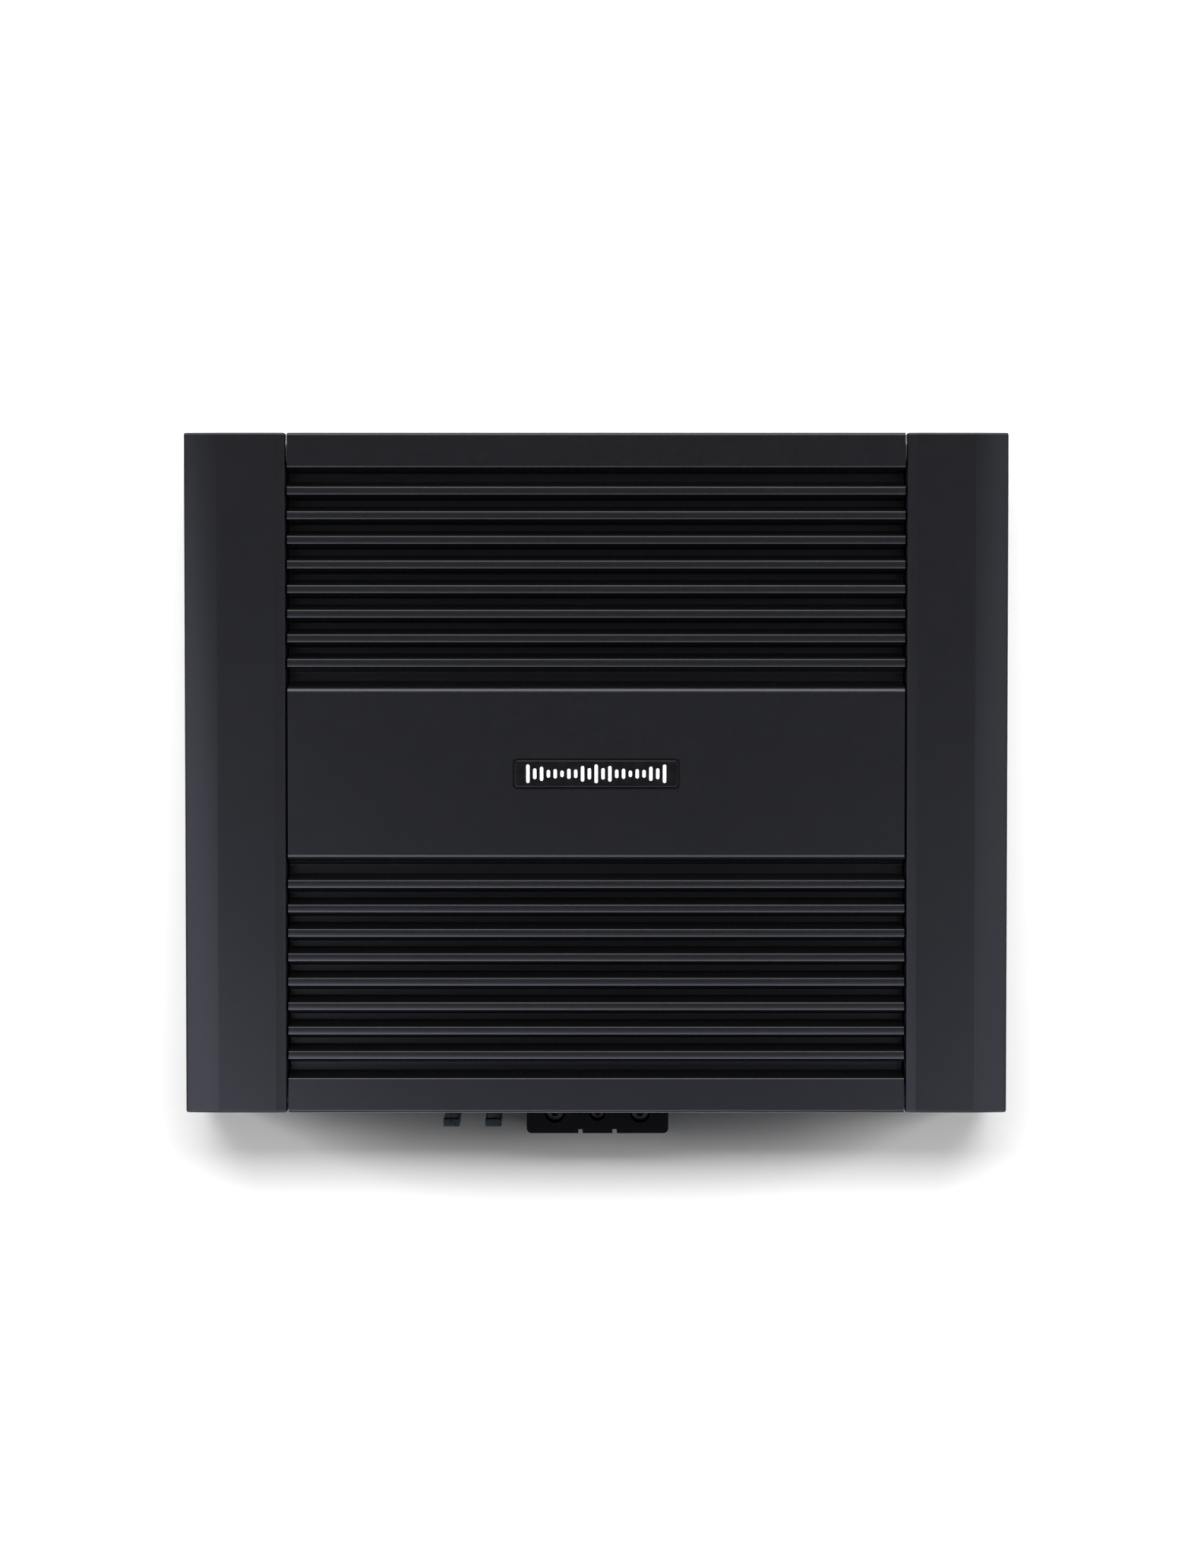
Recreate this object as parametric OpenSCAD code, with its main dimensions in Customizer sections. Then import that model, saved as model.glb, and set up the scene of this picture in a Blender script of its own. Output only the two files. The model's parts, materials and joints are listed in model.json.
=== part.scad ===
// Low-profile car audio power amplifier, mono, with twin blade fuses.
// Frame: origin at the centre of the mounting face, +X to the right-hand cover,
// +Y to the input side, -Y to the power side, +Z up. Units are millimetres.

/* [Body] */
// Width over both side covers
body_w = 260; // [256:1:280]
// Depth from the power-side edge to the input-side edge
body_d = 215; // [213:1:225]
// Height from the mounting face to the top of the heat sink
body_h = 60; // [58:1:66]

/* [Heat sink] */
// Half width of the finned section along X
sink_half = 97.4; // [96:0.1:98]
// Depth of the grooves between fins
groove_depth = 9.2; // [7:0.1:10]
// Distance from one fin to the next
fin_pitch = 7.75; // [7.5:0.05:7.9]
// Number of fins on each side of the centre panel
fins_per_side = 8; // [4:1:8]
// Distance of the first fin from the centre line
first_fin = 34.95; // [34.5:0.05:35.5]
// Width of a fin at its crown
fin_top = 2.65; // [2:0.05:3]
// Width that the draft adds to each side of a fin at its root
fin_draft = 1.42; // [0.8:0.02:1.5]
// Half width of the flat centre panel, rounding included
panel_half = 27.5; // [26:0.1:28]
// Width of the plain strip along the front and rear edges
strip_w = 11.2; // [10:0.1:12]
// Thickness of the plate that carries the fins
plate_t = 4; // [3:0.5:5]

/* [Side covers] */
// Gap between a cover and the heat sink
seam_gap = 0.5; // [0.3:0.1:1]
// Width of the gentle bevel along the inner edge
bevel_w = 3.5; // [2:0.1:5]
// Drop of that bevel
bevel_drop = 0.6; // [0.3:0.1:1]
// Width of the shallow facet along the outer edge
facet_w = 10.3; // [6:0.1:14]
// Drop of that facet
facet_drop = 1.5; // [0.5:0.1:4]
// Wall thickness of a cover
cover_wall = 2.2; // [1.8:0.1:3]

/* [Badge] */
// Length of the badge plate
badge_l = 51.3; // [40:0.1:60]
// Width of the badge plate
badge_w = 8.3; // [7:0.1:10]
// Width of the sunk border around the badge
badge_border = 0.8; // [0.5:0.1:1.2]
// Number of bars in the level-meter motif
badge_bars = 21; // [9:2:23]

/* [Power terminals] */
// Overall width of the three-way housing
power_w = 45.6; // [44:0.1:48]
// Distance of the housing's front face from the centre line
power_front = 116.8; // [116:0.1:118]
// Offset of the housing from the centre line, along X
power_x = 0.4; // [0:0.1:2]
// Distance from the middle pole to each outer pole
power_pitch = 13.7; // [13.5:0.1:14]
// Travel of a rising clamp
clamp_rise = 6; // [3:0.5:6]

/* [Fuses] */
// Offset of the left fuse along X
fuse_left_x = -46.7; // [-47:0.1:-46.5]
// Offset of the right fuse along X
fuse_right_x = -33.2; // [-33.5:0.1:-33]
// Thickness of a fuse head
fuse_head_t = 5.2; // [5:0.1:5.2]
// Width of a fuse head
fuse_head_w = 19.1; // [18.5:0.1:19.1]
// Distance of the fuse heads from the centre line
fuse_front = 115; // [114:0.1:115.4]

/* [Speaker terminals] */
// Offset of the terminal strip along X
speaker_x = 67; // [64:1:68]
// Distance from one terminal screw to the next
speaker_pitch = 9.5; // [9.5:0.1:10]
// Height of the terminal screws
speaker_z = 24; // [22:1:26]

/* [Input side] */
// Height of the knob axes
knob_z = 20; // [19:0.5:22]
// Offset of the gain knob along X
gain_x = -34; // [-36:1:-33]
// Offset of the crossover knob along X
crossover_x = -12; // [-13:1:-11]
// Offset of the bass knob along X
bass_x = 10; // [9:1:12]
// Height of the switch sliders
switch_z = 16; // [15:0.5:18]
// Travel of a switch slider to either side
switch_travel = 1.5; // [1:0.1:1.5]
// Offset of the filter switch along X
filter_x = 32; // [31:1:33]
// Offset of the input range switch along X
range_x = 51; // [50:1:52]
// Offset of the remote level socket along X
remote_x = 78; // [76:1:79]
// Offset of the status light along X
light_x = 64; // [63:1:65]
// Offset of the left column of input jacks along X
jack_x = -77; // [-78:1:-76]
// Distance between jacks, both ways
jack_pitch = 15; // [15:0.5:16]
// Outer radius of a jack shell
jack_r = 4.15; // [4:0.05:4.2]

/* [Mounting] */
// Distance between mounting holes along X
mount_x = 226; // [220:1:228]
// Distance between mounting holes along Y
mount_y = 180; // [170:1:186]
// Radius of a mounting hole
mount_r = 2.6; // [2.1:0.1:3]

/* [Hidden] */

$fn = 64;
eps = 0.01;

// Colours
coat = [0.16, 0.16, 0.17];
steel = [0.62, 0.63, 0.65];
dark_plastic = [0.06, 0.06, 0.065];
brass = [0.78, 0.62, 0.3];
tin = [0.75, 0.76, 0.78];
fuse_green = [0.12, 0.3, 0.2];
board_green = [0.05, 0.25, 0.15];
copper = [0.72, 0.4, 0.2];

// Body
half_w = body_w / 2;
half_d = body_d / 2;

// Heat sink levels and edges
floor_z = body_h - groove_depth;
plate_z = floor_z - plate_t;
strip_in = half_d - strip_w;
strip_t = 4;
panel_round = 2.1;
strip_round_in = 0.7;
strip_round_out = 1;
fin_crown_r = 5;
crown_sag = fin_crown_r - sqrt(fin_crown_r * fin_crown_r - fin_top * fin_top / 4);
lip_t = 2.5;
lip_drop = 8;
ledge_w = 12.5;
ledge_t = 3;
rib_in = 58;
rib_t = 5;
rib_z = 20;
rib_end = 80;
channel_half = 21;
channel_roof = 4.5;

// Badge
badge_depth = 1.2;
badge_plate_t = 1;
badge_print_t = 0.12;
badge_round = 1;

// Sheet metal
plate_edge = 106;
base_t = 1.5;
base_half = 95.2;
bracket_t = 2;
bracket_wall_in = 95.4;
bracket_wall_out = bracket_wall_in + bracket_t;
bracket_out = 126.5;
bracket_half_d = 104.4;
bracket_top_in = 84;
bracket_top_z = 43.5;
ear_w = 12;
ear_h = 20;
sheet_panel_t = 1.5;
panel_out = 100;
panel_in = panel_out - sheet_panel_t;
panel_top = body_h - strip_t - 0.1;
panel_flange = 10;
panel_half_x = 95.2;
window_play = 0.2;

// Side covers
cover_in = sink_half + seam_gap;
cover_round = 0.75;
cover_low = 0.4;
skirt_z = 38;

// Fasteners
m3_r = 1.45;
m3_hole = 1.5;
m3_clear = 1.7;
head_r = 2.8;
head_t = 1.8;
sink_head_t = 1.3;
cross_w = 0.7;
socket_r = 1.25;
cover_screw_x = 114;
cover_screw_z = 12;
cover_sink = 1.1;
ear_y = 102.4;
bracket_screw_y = [-first_fin - 6 * fin_pitch, -first_fin, first_fin, first_fin + 6 * fin_pitch];
bracket_screw_x = 89;
panel_screw_x = [-84, -20, 20, 84];
panel_screw_z = 47.2;
base_screw_x = [-80, -26, 26, 80];
base_screw_y = 93.5;

// Circuit board
board_z = 8;
board_t = 1.6;
board_top = board_z + board_t;
board_half_x = 93;
board_half_y = 86;
standoff_x = [-86, 0, 86];
standoff_y = [-76, 76];

// Power terminals
power_z0 = board_top;
power_top = 37;
power_back = 88;
power_wall = 1.6;
power_y = 110.2;
notch_x = 5.5;
notch_w = 1.4;
notch_d = 1.3;
power_round = 1.6;
cage_z = power_z0 + 2;
cage_gap = 7.5;
cage_t = 1.5;
bar_z = cage_z + cage_t + cage_gap;
bar_t = 1.5;
cage_top = bar_z + bar_t + 0.3 + cage_t;
cage_l = 8;
cell_top = cage_top + clamp_rise + 0.4;
shoulder_t = 0.9;
big_cage_w = 11;
small_cage_w = 7.2;
big_screw_r = 2;
small_screw_r = 1.5;
big_hole_r = 3.2;
small_hole_r = 2.6;
fit_gap = 0.06;
clamp_head_t = 3;
wire_z = cage_z + cage_t + cage_gap / 2;

// Fuses
fuse_head_h = 2.6;
fuse_neck_t = 4.1;
fuse_neck_w = 17.8;
fuse_body_h = 12;
fuse_z = 25;
blade_t = 0.65;
blade_w = 5.2;
blade_offset = 4.85;
blade_l = 6.8;
holder_front = fuse_front - fuse_body_h - 0.4;
holder_back = 86;
holder_w = 27;
holder_h = 24;
contact_gap = blade_t / 2 + 0.08;
contact_t = 0.5;

// Speaker terminals
speaker_front = 106.6;
speaker_face = 101.4;
speaker_back = 88;
speaker_h = 13;
barrier_t = 1.4;
washer_w = 7.4;
washer_t = 1;
strip_plate_t = 0.8;
speaker_screw_r = 1.75;
speaker_head_r = 3.1;
speaker_head_t = 2.2;
speaker_gap = 0.3;
washer_back = speaker_face + strip_plate_t + speaker_gap;

// Input side
knob_r = 5;
knob_l = 5.2;
shaft_r = 2.5;
knob_face = 106.4;
pot_w = 11;
pot_back = 84;
pot_front = 97.8;
jack_z = 19;
jack_front = 107;
jack_bore = 1.7;
jack_root = 92.5;
jack_collar = 100.4;
jack_neck = 0.4;
jack_wall = 0.7;
remote_w = 13;
remote_h = 14;
remote_top = board_top + remote_h;
slider_w = 4;
slider_h = 2.6;
window_w = slider_w + 2 * switch_travel + 1;
light_r = 1.5;

// Inside
cap_places = [[-74, -38], [-54, -38], [54, -38], [74, -38], [-74, 38], [-54, 38]];
cap_r = 8;
cap_h = 30;
core_r = 25;
core_bore = 11;
core_h = 20;
winding_t = 2.5;
transistor_pitch = 22;
transistor_count = 6;
tab_w = 10;
tab_h = 15.5;
case_t = 4.4;
rib_out = rib_in + rib_t;
pad_t = 0.3;
clamp_bar_z = 32;
clamp_bar_t = 2.5;
bar_half = 66;

// ---------- shared shapes ----------

// A block given by its lowest and highest corners
module block(low, high) {
  translate(low) cube(high - low);
}

// A block w wide, centred on x
module slab(x, w, y, z) {
  block([x - w / 2, y[0], z[0]], [x + w / 2, y[1], z[1]]);
}

// A cap screw along +Z, its head standing on z = 0 and its shank below
module cap_screw(length, shank = m3_r, radius = head_r, height = head_t, key = socket_r) {
  difference() {
    union() {
      cylinder(r = radius, h = height);
      translate([0, 0, -length]) cylinder(r = shank, h = length + eps);
    }
    translate([0, 0, height * 0.4]) cylinder(r = key, h = height, $fn = 6);
  }
}

// A pan-head screw with a cross recess, along +Z
module cross_screw(length, shank, radius, height) {
  rim = height * 0.6;
  slot_r = radius * 0.62;
  difference() {
    union() {
      cylinder(r = radius, h = rim);
      translate([0, 0, rim - eps]) cylinder(r1 = radius, r2 = radius * 0.72, h = height - rim + eps);
      translate([0, 0, -length]) cylinder(r = shank, h = length + eps);
    }
    for (turn = [0, 90]) {
      rotate(turn) block([-slot_r, -cross_w / 2, height * 0.5], [slot_r, cross_w / 2, height + 1]);
    }
  }
}

// Turns +Z to -Y, for things that face the power side
module facing_front() {
  rotate([90, 0, 0]) children();
}

// Turns +Z to +Y, for things that face the input side
module facing_rear() {
  rotate([-90, 0, 0]) children();
}

// A cylinder on the input side, between two distances from the centre line
module rear_round(x, z, r, from, to) {
  translate([x, 0, z]) facing_rear() translate([0, 0, from]) cylinder(r = r, h = to - from);
}

// The same on the power side
module front_round(x, z, r, from, to) {
  translate([x, 0, z]) facing_front() translate([0, 0, from]) cylinder(r = r, h = to - from);
}

// ---------- enclosure ----------

module fin_section(y) {
  root = fin_top / 2 + fin_draft;
  shoulder = body_h - crown_sag;
  polygon([
    [y - root, floor_z - eps],
    [y + root, floor_z - eps],
    [y + fin_top / 2, shoulder],
    [y - fin_top / 2, shoulder]
  ]);
  intersection() {
    translate([y, body_h - fin_crown_r]) circle(r = fin_crown_r);
    translate([y - fin_top / 2, shoulder - 0.2]) square([fin_top, 0.6]);
  }
}

module centre_panel_section() {
  root = panel_half + fin_draft;
  flat = panel_half - panel_round;
  low = body_h - panel_round;
  polygon([
    [-root, floor_z - eps],
    [root, floor_z - eps],
    [panel_half, low],
    [flat, body_h],
    [-flat, body_h],
    [-panel_half, low]
  ]);
  for (side = [-1, 1]) translate([side * flat, low]) circle(r = panel_round);
}

module edge_section() {
  wall_in = strip_in - fin_draft;
  polygon([
    [panel_in - ledge_w, plate_z - ledge_t],
    [panel_in, plate_z - ledge_t],
    [panel_in, body_h - strip_t],
    [half_d - lip_t, body_h - strip_t],
    [half_d - lip_t, body_h - lip_drop],
    [half_d, body_h - lip_drop],
    [half_d, body_h - strip_round_out],
    [half_d - strip_round_out, body_h],
    [strip_in + strip_round_in, body_h],
    [strip_in, body_h - strip_round_in],
    [wall_in, floor_z],
    [panel_in - ledge_w, floor_z]
  ]);
  translate([half_d - strip_round_out, body_h - strip_round_out]) circle(r = strip_round_out);
  translate([strip_in + strip_round_in, body_h - strip_round_in]) circle(r = strip_round_in);
}

module heat_sink_section() {
  difference() {
    union() {
      translate([-panel_in, plate_z]) square([2 * panel_in, plate_t]);
      centre_panel_section();
      for (side = [0, 1]) mirror([side, 0]) {
        edge_section();
        for (i = [0 : fins_per_side - 1]) fin_section(first_fin + i * fin_pitch);
        translate([rib_in, rib_z]) square([rib_t, plate_z - rib_z + eps]);
      }
    }
    translate([-channel_half, 0]) square([2 * channel_half, body_h - channel_roof]);
  }
}

module heat_sink() {
  tap_depth = 7;
  color(coat)
    difference() {
      rotate([90, 0, 90]) translate([0, 0, -sink_half]) linear_extrude(2 * sink_half) heat_sink_section();
      badge_pocket();
      for (side = [0, 1]) mirror([side, 0, 0]) {
        // The ribs stop short of the mounting brackets
        block([rib_end, -rib_out - 1, 0], [sink_half + 1, rib_out + 1, plate_z]);
        for (y = bracket_screw_y)
          translate([bracket_screw_x, y, plate_z - 1]) cylinder(r = m3_hole, h = tap_depth);
      }
      for (x = panel_screw_x) {
        rear_round(x, panel_screw_z, m3_hole, panel_in - tap_depth - 2, panel_in + 1);
        front_round(x, panel_screw_z, m3_hole, panel_in - tap_depth - 2, panel_in + 1);
      }
      for (x = clamp_bar_xs()) {
        rear_round(x, clamp_bar_z, m3_hole, rib_in - 1, rib_out + 1);
        front_round(x, clamp_bar_z, m3_hole, rib_in - 1, rib_out + 1);
      }
    }
}

module rounded_bar(length, width, radius, height) {
  x = length / 2 - radius;
  y = width / 2 - radius;
  linear_extrude(height) {
    square([2 * x, width], center = true);
    square([length, 2 * y], center = true);
    for (corner = [[-x, -y], [x, -y], [-x, y], [x, y]]) translate(corner) circle(r = radius);
  }
}

module badge_pocket() {
  translate([0, 0, body_h - badge_depth])
    rounded_bar(badge_l + 2 * badge_border, badge_w + 2 * badge_border, badge_round + 0.6, badge_depth + 1);
}

module badge_plate() {
  color(dark_plastic)
    translate([0, 0, body_h - badge_depth]) rounded_bar(badge_l, badge_w, badge_round, badge_plate_t);
}

// A row of level-meter bars, tallest at the middle and at both quarter points
module badge_motif() {
  pitch = (badge_l - 6) / badge_bars;
  bar_w = pitch / 2;
  middle = (badge_bars - 1) / 2;
  color("white")
    for (i = [0 : badge_bars - 1]) {
      swell = 0.35 + 0.65 * pow(cos((i - middle) * 360 / badge_bars), 2);
      step = i % 2 == 0 ? 1 : 0.55;
      level = bar_w + (badge_w - 2.4 - bar_w) * swell * step;
      translate([(i - middle) * pitch, 0, body_h - badge_depth + badge_plate_t])
        rounded_bar(bar_w, level, bar_w / 2 - eps, badge_print_t);
    }
}

// Outer form of the right-hand cover: a rounded slab with a bevel inside and a shallow facet outside
module cover_form() {
  r = cover_round;
  corners = [
    [cover_in + r, body_h - bevel_drop - r],
    [cover_in + bevel_w, body_h - r],
    [half_w - facet_w - r * 0.3, body_h - r],
    [half_w - r, body_h - facet_drop - r * 0.7]
  ];
  hull() {
    for (y = [r - half_d, half_d - r]) {
      for (c = corners) translate([c[0], y, c[1]]) sphere(r = r, $fn = 32);
      for (x = [cover_in + r, half_w - r]) translate([x, y, cover_low]) cylinder(r = r, h = 1, $fn = 32);
    }
  }
}

module side_cover() {
  w = cover_wall;
  roof = body_h - w;
  difference() {
    cover_form();
    // Hollow under the roof, following the facet
    rotate([90, 0, 0]) translate([0, 0, -half_d + w]) linear_extrude(2 * (half_d - w)) polygon([
      [cover_in + w, -1],
      [cover_in + w, roof - bevel_drop],
      [cover_in + bevel_w + 1, roof - 0.2],
      [half_w - facet_w - w * 0.4, roof - 0.2],
      [half_w - w, roof - facet_drop],
      [half_w - w, -1]
    ]);
    // The inner wall ends above the bracket
    block([cover_in - 1, -half_d + w, -1], [cover_in + w + 1, half_d - w, skirt_z]);
    // Screw holes, their heads sunk in the end walls
    rear_round(cover_screw_x, cover_screw_z, m3_clear, half_d - w - 1, half_d + 1);
    rear_round(cover_screw_x, cover_screw_z, head_r + 0.2, half_d - cover_sink, half_d + 1);
    front_round(cover_screw_x, cover_screw_z, m3_clear, half_d - w - 1, half_d + 1);
    front_round(cover_screw_x, cover_screw_z, head_r + 0.2, half_d - cover_sink, half_d + 1);
  }
}

module right_side_cover() {
  color(coat) side_cover();
}

module left_side_cover() {
  color(coat) mirror([1, 0, 0]) side_cover();
}

module cover_screws() {
  color(steel)
    for (x = [-cover_screw_x, cover_screw_x]) {
      translate([x, half_d - cover_sink, cover_screw_z]) facing_rear() cap_screw(6, height = 1);
      translate([x, cover_sink - half_d, cover_screw_z]) facing_front() cap_screw(6, height = 1);
    }
}

module base_plate() {
  color(coat)
    difference() {
      block([-base_half, -plate_edge, 0], [base_half, plate_edge, base_t]);
      for (y = [-base_screw_y, base_screw_y]) for (x = base_screw_x) translate([x, y, 0]) {
        translate([0, 0, -eps]) cylinder(r1 = head_r + 0.12, r2 = m3_hole + 0.05, h = sink_head_t + 0.05);
        cylinder(r = m3_hole + 0.05, h = base_t + 1);
      }
      for (x = standoff_x) for (y = standoff_y) translate([x, y, -1]) cylinder(r = m3_hole, h = base_t + 2);
    }
}

// Countersunk screws from below, flush with the base plate and tapped into the panel flanges
module base_screws() {
  color(steel)
    for (y = [-base_screw_y, base_screw_y]) for (x = base_screw_x) translate([x, y, 0.1]) difference() {
      union() {
        cylinder(r1 = head_r, r2 = m3_r, h = sink_head_t);
        cylinder(r = m3_r, h = 5);
      }
      for (turn = [0, 90]) rotate(turn) block([-1.6, -cross_w / 2, -1], [1.6, cross_w / 2, 0.7]);
    }
}

module mounting_bracket() {
  top_half_d = panel_in - ledge_w - 0.5;
  difference() {
    union() {
      // Upright wall, taller between the panels' ledges
      block([bracket_wall_in, -bracket_half_d, 0], [bracket_wall_out, bracket_half_d, bracket_top_z]);
      block([bracket_wall_in, -top_half_d, bracket_top_z - eps], [bracket_wall_out, top_half_d, plate_z]);
      // Mounting flange, and the flange under the heat sink
      block([bracket_wall_out - eps, -bracket_half_d, 0], [bracket_out, bracket_half_d, bracket_t]);
      block([bracket_top_in, -top_half_d, plate_z - bracket_t], [bracket_wall_in + eps, top_half_d, plate_z]);
      // Ears for the cover screws
      slab(cover_screw_x, ear_w, [ear_y, bracket_half_d], [bracket_t - eps, ear_h]);
      slab(cover_screw_x, ear_w, [-bracket_half_d, -ear_y], [bracket_t - eps, ear_h]);
    }
    for (side = [-1, 1])
      translate([mount_x / 2, side * mount_y / 2, -1]) cylinder(r = mount_r, h = bracket_t + 2);
    rear_round(cover_screw_x, cover_screw_z, m3_hole, ear_y - 1, half_d);
    front_round(cover_screw_x, cover_screw_z, m3_hole, ear_y - 1, half_d);
    for (y = bracket_screw_y)
      translate([bracket_screw_x, y, plate_z - bracket_t - 1]) cylinder(r = m3_clear, h = bracket_t + 2);
  }
}

module right_mounting_bracket() {
  color(coat) mounting_bracket();
}

module left_mounting_bracket() {
  color(coat) mirror([1, 0, 0]) mounting_bracket();
}

// A folded sheet panel with its foot flange, facing the power side
module connection_panel() {
  difference() {
    union() {
      block([-panel_half_x, -panel_out, base_t], [panel_half_x, -panel_in, panel_top]);
      block([-panel_half_x, -panel_in - eps, base_t], [panel_half_x, -panel_in + panel_flange, 2 * base_t]);
    }
    for (x = panel_screw_x) front_round(x, panel_screw_z, m3_clear, panel_in - 1, panel_out + 1);
    for (x = base_screw_x) translate([x, -base_screw_y, base_t - 1]) cylinder(r = m3_hole, h = base_t + 2);
  }
}

// A rectangular window in the power-side panel, a little larger than the part behind it
module panel_window(x, w, low, high) {
  slab(x, w + 2 * window_play, [-panel_out - 1, -panel_in + 1], [low - window_play, high + window_play]);
}

module front_panel() {
  color(coat)
    difference() {
      connection_panel();
      panel_window(power_x, power_w, power_z0, power_top);
      panel_window(holder_x(), holder_w, fuse_z - holder_h / 2, fuse_z + holder_h / 2);
      panel_window(speaker_x, speaker_w(), speaker_z - speaker_h / 2, speaker_z + speaker_h / 2);
    }
}

module rear_panel() {
  y = [panel_in - 1, panel_out + 1];
  jack_hole = jack_r + 0.85;
  color(coat)
    difference() {
      rotate([0, 0, 180]) connection_panel();
      for (x = [gain_x, crossover_x, bass_x]) rear_round(x, knob_z, shaft_r + 1.5, y[0], y[1]);
      for (x = [filter_x, range_x])
        slab(x, window_w, y, [switch_z - slider_h / 2 - 0.5, switch_z + slider_h / 2 + 0.5]);
      slab(remote_x, remote_w + 2 * window_play, y, [board_top - window_play, remote_top + window_play]);
      rear_round(light_x, knob_z, light_r + 0.15, y[0], y[1]);
      for (x = [0, jack_pitch]) for (z = [0, jack_pitch])
        rear_round(jack_x + x, jack_z + z, jack_hole, y[0], y[1]);
    }
}

// The screws that hold the brackets and both panels to the heat sink
module chassis_screws() {
  color(steel) {
    for (x = panel_screw_x) {
      translate([x, -panel_out, panel_screw_z]) facing_front() chassis_screw();
      translate([x, panel_out, panel_screw_z]) facing_rear() chassis_screw();
    }
    for (x = [-bracket_screw_x, bracket_screw_x]) for (y = bracket_screw_y)
      translate([x, y, plate_z - bracket_t]) rotate([180, 0, 0]) chassis_screw();
  }
}

module chassis_screw() {
  cross_screw(7, m3_r, head_r, head_t);
}

// ---------- power terminals ----------

// Poles count from 0 at the battery side: a large one, the small turn-on pole, a large one
function pole_x(i) = power_x + (i - 1) * power_pitch;
function pole_cage(i) = i == 1 ? small_cage_w : big_cage_w;
function pole_screw(i) = i == 1 ? small_screw_r : big_screw_r;
function pole_hole(i) = i == 1 ? small_hole_r : big_hole_r;
function pole_wire(i) = i == 1 ? 3.1 : 4.6;

module power_terminal_housing() {
  r = power_round;
  z = [power_z0, power_top];
  notch_z = [power_z0 - 1, power_top + 1];
  color(dark_plastic)
    difference() {
      union() {
        slab(power_x, power_w, [r - power_front, -power_back], z);
        slab(power_x, power_w - 2 * r, [-power_front, -power_back], z);
        for (x = [r - power_w / 2, power_w / 2 - r])
          translate([power_x + x, r - power_front, power_z0]) cylinder(r = r, h = power_top - power_z0);
      }
      for (x = [-notch_x, notch_x])
        slab(power_x + x, notch_w, [-power_front - 1, notch_d - power_front], notch_z);
      for (i = [0 : 2]) pole_cavity(i);
    }
}

module pole_cavity(i) {
  w = pole_cage(i) / 2 + 0.3;
  translate([pole_x(i), -power_y, 0]) {
    // The cell that the cage rises in, and the way through for the bus bar
    block([-w, -cage_l / 2 - 0.4, cage_z - 0.4], [w, cage_l / 2 + 0.6, cell_top]);
    block([-w, cage_l / 2 - eps, bar_z - 0.05], [w, power_y, bar_z + bar_t + 0.05]);
    // The screw's shoulder and well
    translate([0, 0, cell_top - eps]) cylinder(r = pole_screw(i) + fit_gap, h = shoulder_t + 1);
    translate([0, 0, cell_top + shoulder_t]) cylinder(r = pole_hole(i), h = power_top);
    // The wire entry
    translate([0, 0, wire_z]) facing_front() cylinder(r = pole_wire(i), h = 20);
  }
}

// Conductors from the clamps back to the circuit board
module power_bus_bars() {
  color(brass)
    for (i = [0 : 2]) {
      w = pole_cage(i) / 2 - 1.8;
      x = pole_x(i);
      block([x - w, -power_y - cage_l / 2 + 0.6, bar_z], [x + w, -power_back + 2, bar_z + bar_t]);
      block([x - w, -power_back + 2 - bar_t, board_top], [x + w, -power_back + 2, bar_z + bar_t]);
    }
}

// A rectangular cage that climbs its screw and pulls the wire up against the bus bar
module clamp_cage(i) {
  w = pole_cage(i) / 2;
  side_t = cage_t * 0.8;
  color(tin)
    translate([pole_x(i), -power_y, 0])
      difference() {
        block([-w, -cage_l / 2, cage_z], [w, cage_l / 2, cage_top]);
        block([side_t - w, -cage_l, cage_z + cage_t], [w - side_t, cage_l, cage_top - cage_t]);
        translate([0, 0, cage_top - cage_t - 1]) cylinder(r = pole_screw(i) + fit_gap, h = cage_t + 2);
      }
}

// A hexagon-socket clamp screw, held in its well and free to turn
module clamp_screw(i) {
  base = cell_top + shoulder_t + 0.05;
  length = base - bar_z - bar_t - 0.2;
  color(steel)
    translate([pole_x(i), -power_y, base])
      cap_screw(length, pole_screw(i), pole_hole(i) - 0.4, clamp_head_t, pole_screw(i) * 0.72);
}

module battery_clamp() {
  clamp_cage(0);
}

module remote_clamp() {
  clamp_cage(1);
}

module ground_clamp() {
  clamp_cage(2);
}

module battery_clamp_screw() {
  clamp_screw(0);
}

module remote_clamp_screw() {
  clamp_screw(1);
}

module ground_clamp_screw() {
  clamp_screw(2);
}

// ---------- fuses ----------

function holder_x() = (fuse_left_x + fuse_right_x) / 2;

module fuse_holder() {
  color(dark_plastic)
    difference() {
      slab(holder_x(), holder_w, [-holder_front, -holder_back], [fuse_z - holder_h / 2, fuse_z + holder_h / 2]);
      for (x = [fuse_left_x, fuse_right_x]) for (z = [fuse_z - blade_offset, fuse_z + blade_offset]) {
        // Blade slot and the wider pocket of its contact
        slab(x, 1.4, [-holder_front - 1, -holder_back - 2], [z - 3, z + 3]);
        slab(x, 4, [-holder_front + 2, -holder_back + 1], [z - 3.4, z + 3.4]);
      }
    }
}

// Pairs of spring leaves that grip the blades
module fuse_contacts() {
  back = -holder_back - 3;
  color(tin)
    for (x = [fuse_left_x, fuse_right_x]) for (z = [fuse_z - blade_offset, fuse_z + blade_offset]) {
      leaf_z = [z - 2.8, z + 2.8];
      for (side = [-1, 1])
        slab(x + side * (contact_gap + contact_t / 2), contact_t, [-holder_front + 2.4, back], leaf_z);
      slab(x, 2 * (contact_gap + contact_t), [back - eps, back + 1], leaf_z);
      slab(x, 2, [back + 1 - eps, back + 5], [z - 1, z + 1]);
    }
}

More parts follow.
